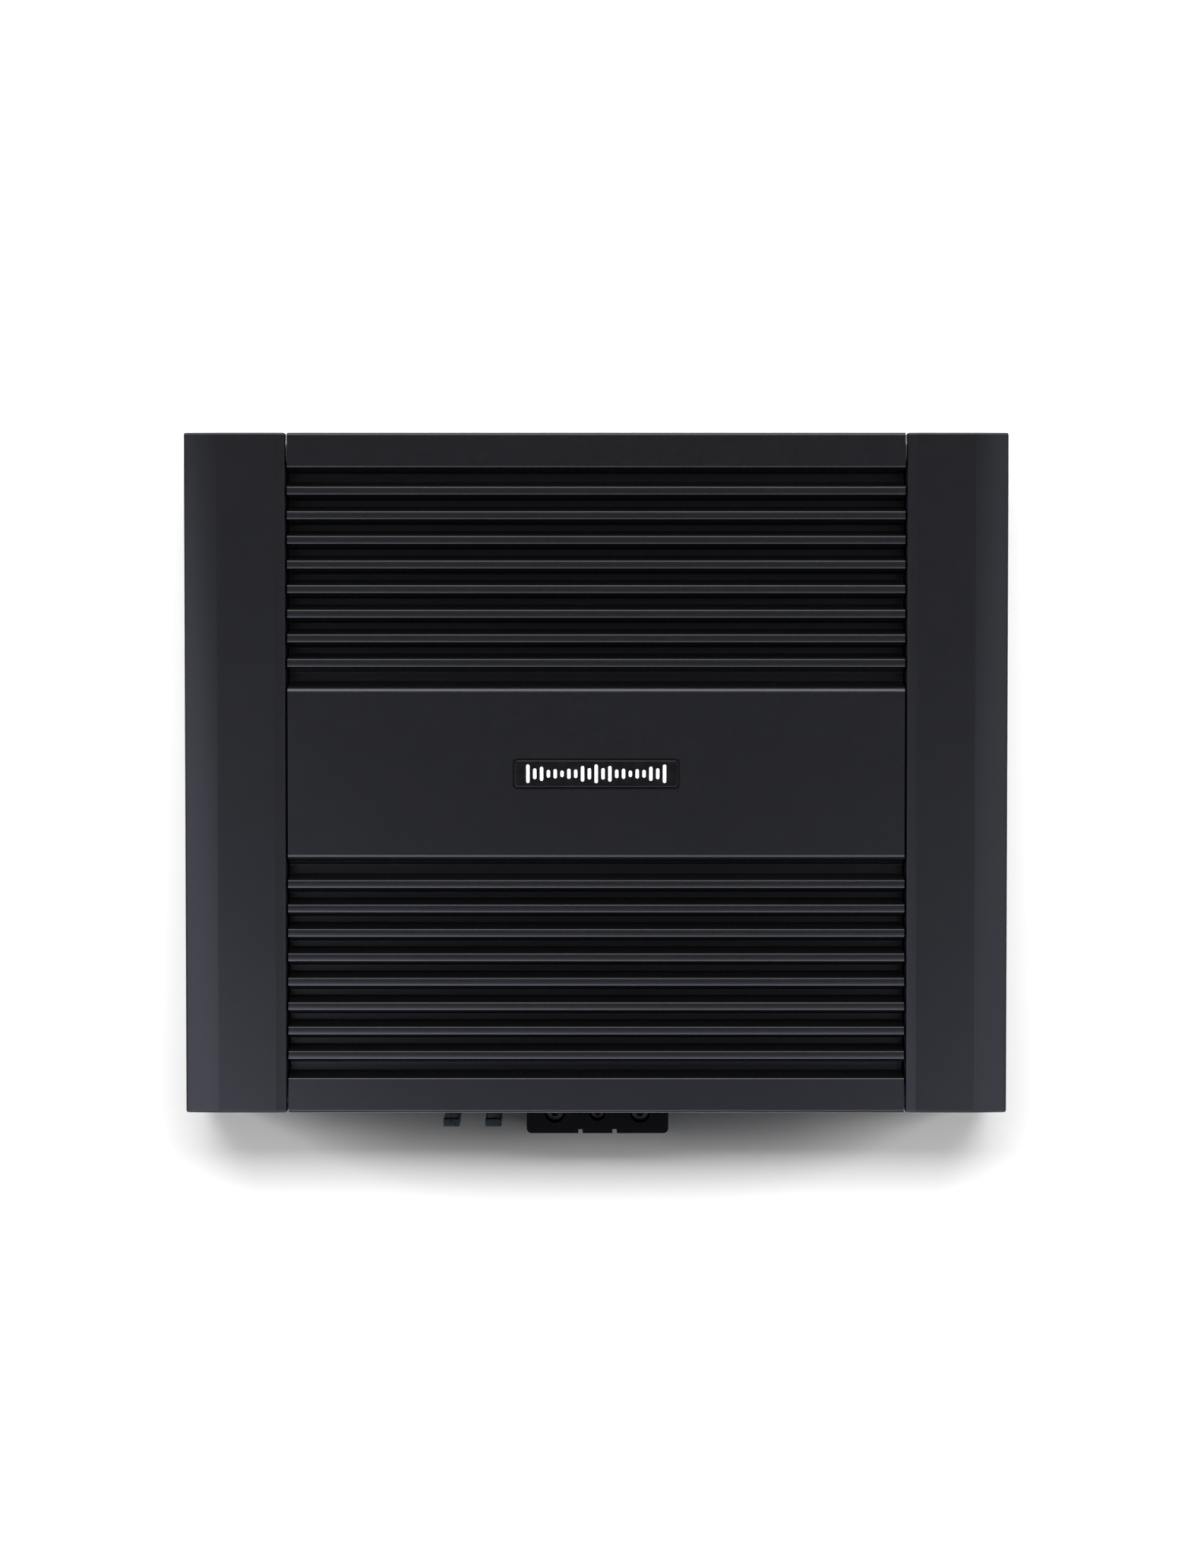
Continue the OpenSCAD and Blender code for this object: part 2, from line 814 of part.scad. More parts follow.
module fuse_blades(x, grow = 0) {
  inner = -fuse_front + 1.6;
  tip = -fuse_front + fuse_body_h + blade_l;
  t = blade_t + 2 * grow;
  reach = blade_w / 2 + grow;
  for (z = [fuse_z - blade_offset, fuse_z + blade_offset])
    slab(x, t, [inner - grow, tip + grow], [z - reach, z + reach]);
  // The link between the blades
  slab(x, t, [inner + 1 - grow, inner + 3 + grow], [fuse_z - blade_offset, fuse_z + blade_offset]);
}

module fuse_body(x) {
  under_head = fuse_head_h - fuse_front;
  head_z = [fuse_z - fuse_head_w / 2, fuse_z + fuse_head_w / 2];
  neck_z = [fuse_z - fuse_neck_w / 2, fuse_z + fuse_neck_w / 2];
  color(fuse_green)
    difference() {
      union() {
        slab(x, fuse_head_t, [-fuse_front, under_head], head_z);
        slab(x, fuse_neck_t, [under_head - eps, fuse_body_h - fuse_front], neck_z);
      }
      fuse_blades(x, 0.02);
    }
}

module left_fuse_body() {
  fuse_body(fuse_left_x);
}

module left_fuse_element() {
  color(tin) fuse_blades(fuse_left_x);
}

module right_fuse_body() {
  fuse_body(fuse_right_x);
}

module right_fuse_element() {
  color(tin) fuse_blades(fuse_right_x);
}

// ---------- speaker terminals ----------

function speaker_w() = 4 * speaker_pitch + barrier_t;
function terminal_x(i) = speaker_x + (i - 2.5) * speaker_pitch;

module speaker_terminal_strip() {
  w = speaker_w();
  z = [speaker_z - speaker_h / 2, speaker_z + speaker_h / 2];
  color(dark_plastic)
    difference() {
      union() {
        slab(speaker_x, w, [-speaker_face, -speaker_back], z);
        slab(speaker_x, w, [-speaker_back - 4, -speaker_back], [board_top, z[0] + eps]);
        for (i = [-2 : 2])
          slab(speaker_x + i * speaker_pitch, barrier_t, [-speaker_front, -speaker_face + eps], z);
      }
      for (i = [1 : 4])
        front_round(terminal_x(i), speaker_z, speaker_screw_r + 0.05, speaker_face - 11, speaker_face + 1);
    }
}

// A square plate with a hole for the screw of terminal i, from a distance from the centre line outward
module terminal_plate(i, from, thickness, hole_r) {
  reach = washer_w / 2;
  difference() {
    slab(terminal_x(i), washer_w, [-from - thickness, -from], [speaker_z - reach, speaker_z + reach]);
    front_round(terminal_x(i), speaker_z, hole_r, from - 1, from + thickness + 1);
  }
}

module speaker_contacts() {
  color(brass)
    for (i = [1 : 4]) terminal_plate(i, speaker_face, strip_plate_t, speaker_screw_r + 0.05);
}

// A square clamp washer that travels with its screw
module speaker_clamp(i) {
  color(tin) terminal_plate(i, washer_back, washer_t, speaker_screw_r + fit_gap);
}

module speaker_screw(i) {
  color(steel)
    translate([terminal_x(i), -washer_back - washer_t - 0.05, speaker_z])
      facing_front() cross_screw(9, speaker_screw_r, speaker_head_r, speaker_head_t);
}

module speaker_clamp_1() {
  speaker_clamp(1);
}

module speaker_clamp_2() {
  speaker_clamp(2);
}

module speaker_clamp_3() {
  speaker_clamp(3);
}

module speaker_clamp_4() {
  speaker_clamp(4);
}

module speaker_screw_1() {
  speaker_screw(1);
}

module speaker_screw_2() {
  speaker_screw(2);
}

module speaker_screw_3() {
  speaker_screw(3);
}

module speaker_screw_4() {
  speaker_screw(4);
}

// ---------- input side ----------

module each_jack() {
  for (x = [0, jack_pitch]) for (z = [0, jack_pitch])
    translate([jack_x + x, 0, jack_z + z]) facing_rear() children();
}

module input_jack_housing() {
  edge = jack_r + 2.4;
  high = [jack_x + jack_pitch + edge, panel_in - 0.1, jack_z + jack_pitch + edge];
  sleeve_from = panel_in - 0.2;
  sleeve_r = jack_r - jack_wall - 0.05;
  color(dark_plastic)
    difference() {
      union() {
        block([jack_x - edge, pot_back, board_top], high);
        each_jack() translate([0, 0, sleeve_from]) cylinder(r = jack_r + 0.7, h = jack_collar - sleeve_from);
        // Insulating sleeve of each jack
        each_jack() translate([0, 0, sleeve_from]) cylinder(r = sleeve_r, h = jack_front - 0.4 - sleeve_from);
      }
      each_jack() {
        translate([0, 0, pot_back + 2]) cylinder(r = jack_bore, h = 40);
        translate([0, 0, jack_root]) difference() {
          cylinder(r = jack_r - jack_neck, h = 20);
          translate([0, 0, -1]) cylinder(r = sleeve_r, h = 22);
        }
      }
    }
}

// Shells: a thinner neck inside the housing, full size from the face of its collar
module input_jack_shells() {
  neck_l = jack_collar - jack_root;
  color(tin)
    each_jack() translate([0, 0, jack_root]) difference() {
      union() {
        cylinder(r = jack_r - jack_neck, h = neck_l + eps);
        translate([0, 0, neck_l]) cylinder(r = jack_r, h = jack_front - jack_collar);
      }
      translate([0, 0, -1]) cylinder(r = jack_r - jack_wall, h = 40);
    }
}

// Split sockets for the centre pins of the plugs
module input_jack_contacts() {
  color(brass)
    each_jack() translate([0, 0, pot_back + 2]) difference() {
      cylinder(r = jack_bore - 0.05, h = 14);
      translate([0, 0, 2]) cylinder(r = jack_bore - 0.4, h = 14);
      block([-0.2, -jack_bore - 1, 4], [0.2, jack_bore + 1, 20]);
    }
}

module knob(x) {
  skirt = knob_face - knob_l;
  rim = 0.6;
  translate([x, 0, knob_z]) facing_rear() {
    difference() {
      union() {
        translate([0, 0, skirt]) cylinder(r = knob_r, h = knob_l - rim);
        translate([0, 0, knob_face - rim - eps]) cylinder(r1 = knob_r, r2 = knob_r - 0.5, h = rim + eps);
        translate([0, 0, pot_back + 4]) cylinder(r = shaft_r, h = skirt - pot_back - 3);
      }
      // Grip flutes and the pointer groove
      for (i = [1 : 17])
        rotate(i * 20 - 90) translate([knob_r + 0.25, 0, skirt + 1.2]) cylinder(r = 0.5, h = knob_l);
      block([-0.35, -knob_r - 1, knob_face - 0.7], [0.35, -1.2, knob_face + 1]);
    }
  }
}

module gain_knob() {
  color(dark_plastic) knob(gain_x);
}

module crossover_knob() {
  color(dark_plastic) knob(crossover_x);
}

module bass_knob() {
  color(dark_plastic) knob(bass_x);
}

module potentiometers() {
  body_front = pot_front - 4;
  color([0.1, 0.22, 0.4])
    for (x = [gain_x, crossover_x, bass_x]) difference() {
      union() {
        slab(x, pot_w, [pot_back, body_front], [board_top, knob_z + pot_w / 2 + 0.5]);
        rear_round(x, knob_z, shaft_r + 1.2, body_front - eps, pot_front);
      }
      rear_round(x, knob_z, shaft_r + 0.05, pot_back + 3.6, pot_front + 1);
    }
}

module switch_frames() {
  reach = slider_h / 2 + 0.35;
  color(tin)
    for (x = [filter_x, range_x]) difference() {
      slab(x, 12, [panel_in - 8, panel_in - 0.2], [board_top, switch_z + 3.5]);
      slab(x, 9.6, [panel_in - 6, panel_in + 1], [switch_z - reach, switch_z + reach]);
    }
}

module switch_slider(x) {
  z = [switch_z - slider_h / 2, switch_z + slider_h / 2];
  foot = panel_in - 1.6;
  tip = panel_out + 1.8;
  color(dark_plastic) {
    slab(x, 6, [foot - 4, foot], z);
    slab(x, slider_w, [foot - eps, tip], z);
    slab(x, 0.8, [tip - eps, tip + 0.4], z);
  }
}

module filter_switch_slider() {
  switch_slider(filter_x);
}

module range_switch_slider() {
  switch_slider(range_x);
}

// A six-way modular socket for the remote level control
module remote_level_socket() {
  w = remote_w / 2;
  z = board_top;
  color(dark_plastic)
    difference() {
      block([remote_x - w, pot_back, z], [remote_x + w, panel_out + 1, remote_top]);
      block([remote_x - w + 1.6, pot_back + 3, z + 3.4], [remote_x + w - 1.6, panel_out + 2, z + 10.4]);
      block([remote_x - 3, pot_back + 6, z + 10.3], [remote_x + 3, panel_out + 2, z + 12.4]);
    }
}

module status_light() {
  color([0.3, 0.6, 0.9])
    translate([light_x, 0, knob_z]) facing_rear() {
      translate([0, 0, panel_in - 5]) cylinder(r = light_r, h = panel_out - panel_in + 5.4);
      translate([0, 0, panel_out + 0.4]) sphere(r = light_r);
      translate([0, 0, panel_in - 6]) cylinder(r = light_r + 0.4, h = 1);
      block([-light_r, 0, panel_in - 8], [light_r, knob_z - board_top, panel_in - 6 + eps]);
    }
}

// ---------- inside ----------

module circuit_board() {
  color(board_green)
    difference() {
      block([-board_half_x, -board_half_y, board_z], [board_half_x, board_half_y, board_top]);
      for (x = standoff_x) for (y = standoff_y)
        translate([x, y, board_z - 1]) cylinder(r = m3_clear, h = board_t + 2);
    }
}

module board_standoffs() {
  color(steel)
    for (x = standoff_x) for (y = standoff_y) translate([x, y, base_t]) difference() {
      cylinder(r = 3, h = board_z - base_t, $fn = 6);
      translate([0, 0, -1]) cylinder(r = m3_hole, h = board_z);
    }
}

module board_screws() {
  color(steel)
    for (x = standoff_x) for (y = standoff_y)
      translate([x, y, board_top]) cross_screw(6, m3_r, head_r, head_t);
}

module storage_capacitors() {
  vent = cap_r * 0.7;
  color([0.1, 0.12, 0.3])
    for (p = cap_places) translate([p[0], p[1], board_top]) difference() {
      cylinder(r = cap_r, h = cap_h);
      // The crimp groove near the foot, and the scored cross on top
      translate([0, 0, 3]) ring(cap_r + 1, cap_r - 0.6, 1.4);
      for (turn = [45, 135]) rotate(turn) block([-vent, -0.2, cap_h - 0.4], [vent, 0.2, cap_h + 1]);
    }
}

module ring(outer, inner, height) {
  difference() {
    cylinder(r = outer, h = height);
    translate([0, 0, -1]) cylinder(r = inner, h = height + 2);
  }
}

module transformer_core() {
  color([0.2, 0.2, 0.22]) translate([0, 0, board_top + winding_t]) ring(core_r, core_bore, core_h);
}

module transformer_winding() {
  color(copper)
    translate([0, 0, board_top]) difference() {
      ring(core_r + winding_t, core_bore - winding_t, core_h + 2 * winding_t);
      translate([0, 0, winding_t]) ring(core_r, core_bore, core_h);
    }
}

module output_inductor() {
  color(copper) translate([58, 24, board_top]) ring(15, 6, 14);
}

function transistor_x(i) = (i - (transistor_count - 1) / 2) * transistor_pitch;
function clamp_bar_xs() = [for (i = [0 : 2 : transistor_count - 2]) transistor_x(i) + transistor_pitch / 2];

module power_transistors() {
  foot = 24;
  split = 9;
  color(dark_plastic)
    for (side = [0, 1]) mirror([0, side, 0])
      for (i = [0 : transistor_count - 1]) translate([transistor_x(i), rib_out + pad_t, foot]) {
        // Metal tab, moulded case and three legs down to the board
        slab(0, tab_w, [0, 1.3], [split, tab_h]);
        slab(0, tab_w, [0, case_t], [0, split + 0.2]);
        for (leg = [-2.54, 0, 2.54]) slab(leg, 0.8, [1.9, 2.5], [board_top - foot, eps]);
      }
}

// Thin heat-conducting sheets between the transistors and the ribs
module insulator_pads() {
  color([0.75, 0.75, 0.7])
    for (side = [0, 1]) mirror([0, side, 0]) difference() {
      block([-bar_half, rib_out, 23], [bar_half, rib_out + pad_t, 40.5]);
      for (x = clamp_bar_xs()) rear_round(x, clamp_bar_z, m3_clear, rib_out - 1, rib_out + pad_t + 1);
    }
}

module transistor_clamp_bars() {
  y = rib_out + pad_t + case_t;
  color(steel)
    for (side = [0, 1]) mirror([0, side, 0]) difference() {
      block([-bar_half, y, clamp_bar_z - 4], [bar_half, y + clamp_bar_t, clamp_bar_z + 4]);
      for (x = clamp_bar_xs()) rear_round(x, clamp_bar_z, m3_clear, y - 1, y + clamp_bar_t + 1);
    }
}

module clamp_bar_screws() {
  y = rib_out + pad_t + case_t + clamp_bar_t;
  color(steel)
    for (side = [0, 1]) mirror([0, side, 0]) for (x = clamp_bar_xs())
      translate([x, y, clamp_bar_z]) facing_rear() cross_screw(11.5, m3_r, head_r, head_t);
}

heat_sink();
left_side_cover();
right_side_cover();
cover_screws();
base_plate();
base_screws();
left_mounting_bracket();
right_mounting_bracket();
chassis_screws();
front_panel();
rear_panel();
badge_plate();
badge_motif();
power_terminal_housing();
power_bus_bars();
battery_clamp();
remote_clamp();
ground_clamp();
battery_clamp_screw();
remote_clamp_screw();
ground_clamp_screw();
fuse_holder();
fuse_contacts();
left_fuse_body();
left_fuse_element();
right_fuse_body();
right_fuse_element();
speaker_terminal_strip();
speaker_contacts();
speaker_clamp_1();
speaker_clamp_2();
speaker_clamp_3();
speaker_clamp_4();
speaker_screw_1();
speaker_screw_2();
speaker_screw_3();
speaker_screw_4();
input_jack_housing();
input_jack_shells();
input_jack_contacts();
gain_knob();
crossover_knob();
bass_knob();
potentiometers();
switch_frames();
filter_switch_slider();
range_switch_slider();
remote_level_socket();
status_light();
circuit_board();
board_standoffs();
board_screws();
storage_capacitors();
transformer_core();
transformer_winding();
output_inductor();
power_transistors();
insulator_pads();
transistor_clamp_bars();
clamp_bar_screws();
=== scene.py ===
"""The looks of a low-profile car amplifier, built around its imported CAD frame. Metres throughout."""

import json
import math
import random

import bmesh
import bpy
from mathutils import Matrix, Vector


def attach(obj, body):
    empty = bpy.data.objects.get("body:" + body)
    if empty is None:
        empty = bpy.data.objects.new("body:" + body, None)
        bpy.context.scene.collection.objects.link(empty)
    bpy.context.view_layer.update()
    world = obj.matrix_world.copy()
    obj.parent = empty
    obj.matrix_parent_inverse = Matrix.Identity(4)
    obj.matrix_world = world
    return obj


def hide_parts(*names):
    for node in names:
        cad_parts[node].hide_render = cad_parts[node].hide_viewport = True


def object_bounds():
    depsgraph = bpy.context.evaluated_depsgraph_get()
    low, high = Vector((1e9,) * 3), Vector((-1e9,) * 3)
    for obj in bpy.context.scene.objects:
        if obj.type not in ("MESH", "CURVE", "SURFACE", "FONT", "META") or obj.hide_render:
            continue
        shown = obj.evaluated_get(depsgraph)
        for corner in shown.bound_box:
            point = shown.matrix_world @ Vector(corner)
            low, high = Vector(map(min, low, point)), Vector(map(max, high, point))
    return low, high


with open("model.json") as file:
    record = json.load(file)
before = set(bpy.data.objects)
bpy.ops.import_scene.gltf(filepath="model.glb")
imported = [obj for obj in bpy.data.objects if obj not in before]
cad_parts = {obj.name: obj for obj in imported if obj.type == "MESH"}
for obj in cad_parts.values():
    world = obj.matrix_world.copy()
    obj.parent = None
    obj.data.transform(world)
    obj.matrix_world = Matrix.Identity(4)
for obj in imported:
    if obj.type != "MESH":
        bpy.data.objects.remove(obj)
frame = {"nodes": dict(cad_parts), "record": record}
CAD_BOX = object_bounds()

MM = 0.001
LOW, HIGH = (Vector(corner) for corner in CAD_BOX)
BODY_OF = {node: body for body, nodes in frame["record"]["behaviour"]["bodies"].items() for node in nodes}
SLOT_OF = {row["node"]: row["material_slot"] for row in frame["record"]["subparts"]}


# ---------- materials ----------

# Nearly all of a noise lies between these values
NOISE_LOW, NOISE_HIGH = 0.3, 0.7


class Shader:
    """A Principled material in object coordinates, built up one effect at a time."""

    def __init__(self, name, base, roughness, metallic=0.0, **sockets):
        self.material = bpy.data.materials.new(name)
        self.material.use_nodes = True
        self.nodes = self.material.node_tree.nodes
        self.links = self.material.node_tree.links
        self.surface = self.nodes["Principled BSDF"]
        self.base = (*base, 1.0)
        self.set("Base Color", self.base)
        self.set("Roughness", roughness)
        self.set("Metallic", metallic)
        for socket, value in sockets.items():
            self.set(socket.replace("_", " "), value)
        self.place = self.nodes.new("ShaderNodeTexCoord").outputs["Object"]
        self.bumps = None

    def set(self, socket, value):
        self.surface.inputs[socket].default_value = value

    def noise(self, size, detail=3.0, stretch=None):
        """Noise whose features are about size metres across."""
        node = self.nodes.new("ShaderNodeTexNoise")
        node.inputs["Scale"].default_value = 1.0 / size
        node.inputs["Detail"].default_value = detail
        self.links.new(self.stretched(stretch), node.inputs["Vector"])
        return node.outputs["Fac"]

    def cells(self, size, feature="F1", stretch=None):
        """Distance to the nearest of points about size metres apart."""
        node = self.nodes.new("ShaderNodeTexVoronoi")
        node.feature = feature
        node.inputs["Scale"].default_value = 1.0 / size
        self.links.new(self.stretched(stretch), node.inputs["Vector"])
        return node.outputs["Distance"]

    def stretched(self, stretch):
        """Object coordinates, scaled along each axis where stretch says so."""
        if stretch is None:
            return self.place
        node = self.nodes.new("ShaderNodeMapping")
        node.inputs["Scale"].default_value = stretch
        self.links.new(self.place, node.inputs["Vector"])
        return node.outputs["Vector"]

    def ramp(self, value, stops):
        """A colour ramp over value; stops are (position, colour) pairs."""
        node = self.nodes.new("ShaderNodeValToRGB")
        ramp = node.color_ramp
        while len(ramp.elements) < len(stops):
            ramp.elements.new(1.0)
        for element, (position, colour) in zip(ramp.elements, stops):
            element.position = position
            element.color = (*colour, 1.0)
        self.links.new(value, node.inputs["Fac"])
        return node.outputs["Color"]

    def spread(self, value, low, high):
        """Brings the usual range of a noise to low to high."""
        node = self.nodes.new("ShaderNodeMapRange")
        node.inputs["From Min"].default_value = NOISE_LOW
        node.inputs["From Max"].default_value = NOISE_HIGH
        node.inputs["To Min"].default_value = low
        node.inputs["To Max"].default_value = high
        self.links.new(value, node.inputs["Value"])
        return node.outputs["Result"]

    def mottle(self, size, amount, stretch=None):
        """Slight lightening and darkening of the base colour."""
        shades = [tuple(c * k for c in self.base[:3]) for k in (1.0 - amount, 1.0, 1.0 + amount)]
        stops = list(zip((NOISE_LOW, 0.5, NOISE_HIGH), shades))
        colour = self.ramp(self.noise(size, 4.0, stretch), stops)
        self.links.new(colour, self.surface.inputs["Base Color"])

    def gloss(self, size, low, high):
        """Roughness that wanders between low and high."""
        value = self.spread(self.noise(size), low, high)
        self.links.new(value, self.surface.inputs["Roughness"])

    def bump(self, height, depth, strength=1.0):
        """Adds a layer of bump, depth metres high."""
        node = self.nodes.new("ShaderNodeBump")
        node.inputs["Strength"].default_value = strength
        node.inputs["Distance"].default_value = depth
        self.links.new(height, node.inputs["Height"])
        if self.bumps is not None:
            self.links.new(self.bumps, node.inputs["Normal"])
        self.bumps = node.outputs["Normal"]
        self.links.new(self.bumps, self.surface.inputs["Normal"])


def powder_coat(name="powder_coat", low=0.42, high=0.58, grain=1.0):
    """Satin black powder coat: a broad sheen under a tighter one, and a sandy, rolling skin."""
    s = Shader(name, (0.0028, 0.0028, 0.0033), 0.5, Specular_IOR_Level=0.15,
               Coat_Weight=0.64, Coat_Roughness=0.25)
    s.mottle(9 * MM, 0.12)
    s.gloss(1.3 * MM, low, high)
    s.bump(s.noise(3.0 * MM, 2.0), 0.004 * MM, 0.5)
    s.bump(s.noise(1.1 * MM, 2.0), 0.004 * MM, 0.5)
    s.bump(s.noise(0.36 * MM, 2.0), 0.009 * MM, 0.5 * grain)
    return s.material


def panel_paint():
    """Smoother satin black paint on the two connection panels."""
    s = Shader("panel_paint", (0.010, 0.010, 0.012), 0.48)
    s.mottle(14 * MM, 0.12)
    s.gloss(2.0 * MM, 0.42, 0.54)
    s.bump(s.noise(0.7 * MM, 3.0), 0.02 * MM, 0.4)
    return s.material


def zinc_plate():
    """Zinc-plated sheet, with its faint crystalline bloom and rolling lines."""
    s = Shader("zinc_plate", (0.50, 0.51, 0.52), 0.36, 1.0)
    s.mottle(6 * MM, 0.10)
    s.gloss(3 * MM, 0.28, 0.44)
    s.bump(s.noise(0.5 * MM, 2.0, stretch=(0.06, 1.0, 1.0)), 0.01 * MM, 0.5)
    return s.material


def black_oxide():
    s = Shader("black_oxide", (0.018, 0.018, 0.019), 0.38, 0.65)
    s.mottle(1.5 * MM, 0.25)
    s.gloss(0.8 * MM, 0.30, 0.46)
    s.bump(s.noise(0.25 * MM, 2.0), 0.008 * MM, 0.5)
    return s.material


def bright_zinc():
    s = Shader("bright_zinc", (0.60, 0.60, 0.58), 0.26, 1.0)
    s.mottle(1.2 * MM, 0.10)
    s.gloss(0.6 * MM, 0.18, 0.34)
    s.bump(s.noise(0.3 * MM, 2.0), 0.006 * MM, 0.5)
    return s.material


def nickel():
    s = Shader("nickel", (0.66, 0.63, 0.57), 0.16, 1.0)
    s.mottle(2 * MM, 0.06)
    s.gloss(1 * MM, 0.12, 0.24)
    s.bump(s.noise(0.6 * MM, 2.0), 0.004 * MM, 0.5)
    return s.material


def brass():
    s = Shader("brass", (0.66, 0.47, 0.20), 0.28, 1.0)
    s.mottle(2 * MM, 0.10)
    s.gloss(1 * MM, 0.20, 0.36)
    s.bump(s.noise(0.4 * MM, 2.0, stretch=(1.0, 0.1, 1.0)), 0.006 * MM, 0.5)
    return s.material


def fuse_zinc():
    s = Shader("fuse_zinc", (0.55, 0.56, 0.58), 0.34, 1.0)
    s.mottle(2 * MM, 0.12)
    s.gloss(1 * MM, 0.28, 0.42)
    s.bump(s.noise(0.3 * MM, 2.0), 0.008 * MM, 0.5)
    return s.material


def badge_gloss():
    s = Shader("badge_gloss", (0.0035, 0.0035, 0.004), 0.2, Coat_Weight=0.3, Coat_Roughness=0.1)
    s.mottle(5 * MM, 0.10)
    s.gloss(3 * MM, 0.16, 0.26)
    s.bump(s.noise(1.5 * MM, 2.0), 0.006 * MM, 0.3)
    return s.material


def print_white():
    s = Shader("print_white", (0.80, 0.80, 0.82), 0.45)
    s.mottle(0.8 * MM, 0.06)
    s.gloss(0.5 * MM, 0.40, 0.52)
    s.bump(s.noise(0.2 * MM, 2.0), 0.006 * MM, 0.5)
    return s.material


def moulded_black():
    """Glass-filled nylon: fine spark-eroded texture with pale fibre flecks."""
    s = Shader("moulded_black", (0.0014, 0.0014, 0.0015), 0.5, Specular_IOR_Level=0.05)
    s.mottle(0.6 * MM, 0.35, stretch=(1.0, 0.5, 1.0))
    s.gloss(0.9 * MM, 0.42, 0.60)
    s.bump(s.noise(0.22 * MM, 2.0), 0.012 * MM, 0.6)
    return s.material


def knob_black():
    s = Shader("knob_black", (0.012, 0.012, 0.012), 0.42)
    s.mottle(1.0 * MM, 0.2)
    s.gloss(0.6 * MM, 0.36, 0.50)
    s.bump(s.noise(0.18 * MM, 2.0), 0.010 * MM, 0.6)
    return s.material


def fuse_plastic():
    """Dark green polycarbonate, partly see-through."""
    s = Shader("fuse_plastic", (0.013, 0.030, 0.028), 0.34, Transmission_Weight=0.05, IOR=1.58,
               Specular_IOR_Level=0.15)
    s.mottle(3 * MM, 0.15)
    s.gloss(1.5 * MM, 0.24, 0.36)
    s.bump(s.noise(0.8 * MM, 2.0), 0.008 * MM, 0.4)
    return s.material


def pot_blue():
    s = Shader("pot_blue", (0.02, 0.09, 0.26), 0.34)
    s.mottle(2 * MM, 0.12)
    s.gloss(1 * MM, 0.28, 0.42)
    s.bump(s.noise(0.3 * MM, 2.0), 0.010 * MM, 0.5)
    return s.material


def light_lens():
    s = Shader("light_lens", (0.25, 0.50, 0.90), 0.2, Transmission_Weight=0.3, Emission_Strength=0.8)
    s.set("Emission Color", (0.15, 0.45, 1.0, 1.0))
    s.mottle(1 * MM, 0.08)
    s.gloss(0.8 * MM, 0.14, 0.26)
    return s.material


def solder_mask():
    """Green solder mask with routed copper showing faintly underneath."""
    s = Shader("solder_mask", (0.008, 0.075, 0.032), 0.3)
    tracks = s.cells(5 * MM, "DISTANCE_TO_EDGE", stretch=(1.0, 2.2, 1.0))
    over_copper = (0.010, 0.090, 0.039)
    shades = ((0.0, over_copper), (0.06, over_copper), (0.09, s.base[:3]))
    s.links.new(s.ramp(tracks, shades), s.surface.inputs["Base Color"])
    s.gloss(3 * MM, 0.24, 0.38)
    s.bump(tracks, 0.02 * MM, 0.4)
    return s.material


def sleeve_blue():
    s = Shader("sleeve_blue", (0.010, 0.014, 0.045), 0.3)
    s.mottle(4 * MM, 0.15)
    s.gloss(2 * MM, 0.24, 0.38)
    s.bump(s.noise(3 * MM, 2.0), 0.03 * MM, 0.4)
    return s.material


def can_aluminium():
    s = Shader("can_aluminium", (0.62, 0.63, 0.64), 0.3, 1.0)
    s.mottle(2 * MM, 0.06)
    s.gloss(1 * MM, 0.22, 0.38)
    s.bump(s.noise(0.4 * MM, 2.0), 0.008 * MM, 0.4)
    return s.material


def ferrite():
    s = Shader("ferrite", (0.035, 0.035, 0.037), 0.62)
    s.mottle(1.5 * MM, 0.3)
    s.gloss(1 * MM, 0.5, 0.75)
    s.bump(s.noise(0.4 * MM, 4.0), 0.04 * MM, 0.6)
    return s.material


def enamelled_copper():
    s = Shader("enamelled_copper", (0.55, 0.17, 0.05), 0.24, 1.0, Coat_Weight=0.5, Coat_Roughness=0.12)
    s.mottle(2 * MM, 0.15)
    s.gloss(1 * MM, 0.18, 0.32)
    s.bump(s.noise(0.8 * MM, 2.0), 0.01 * MM, 0.3)
    return s.material


def epoxy_black():
    s = Shader("epoxy_black", (0.010, 0.010, 0.011), 0.55)
    s.mottle(0.8 * MM, 0.25)
    s.gloss(0.5 * MM, 0.48, 0.64)
    s.bump(s.noise(0.15 * MM, 3.0), 0.015 * MM, 0.6)
    return s.material


def silicone_grey():
    s = Shader("silicone_grey", (0.42, 0.44, 0.42), 0.7)
    s.mottle(1 * MM, 0.10)
    s.gloss(1 * MM, 0.62, 0.8)
    s.bump(s.cells(0.6 * MM), 0.02 * MM, 0.5)
    return s.material


def jack_colour(name, base):
    s = Shader(name, base, 0.35)
    s.mottle(1.5 * MM, 0.08)
    s.gloss(1 * MM, 0.30, 0.42)
    s.bump(s.noise(0.4 * MM, 2.0), 0.008 * MM, 0.4)
    return s.material


def iron_powder():
    """Sprayed coating of an iron-powder core."""
    s = Shader("iron_powder", (0.55, 0.42, 0.05), 0.5)
    s.mottle(1.5 * MM, 0.12)
    s.gloss(1 * MM, 0.42, 0.58)
    s.bump(s.noise(0.5 * MM, 3.0), 0.03 * MM, 0.5)
    return s.material


def stripe_grey():
    s = Shader("stripe_grey", (0.42, 0.43, 0.46), 0.35)
    s.mottle(2 * MM, 0.08)
    s.gloss(1 * MM, 0.3, 0.42)
    s.bump(s.noise(2 * MM, 2.0), 0.02 * MM, 0.4)
    return s.material


def ceramic_tan():
    s = Shader("ceramic_tan", (0.42, 0.30, 0.18), 0.45)
    s.mottle(0.5 * MM, 0.12)
    s.gloss(0.5 * MM, 0.38, 0.52)
    s.bump(s.noise(0.2 * MM, 2.0), 0.008 * MM, 0.4)
    return s.material


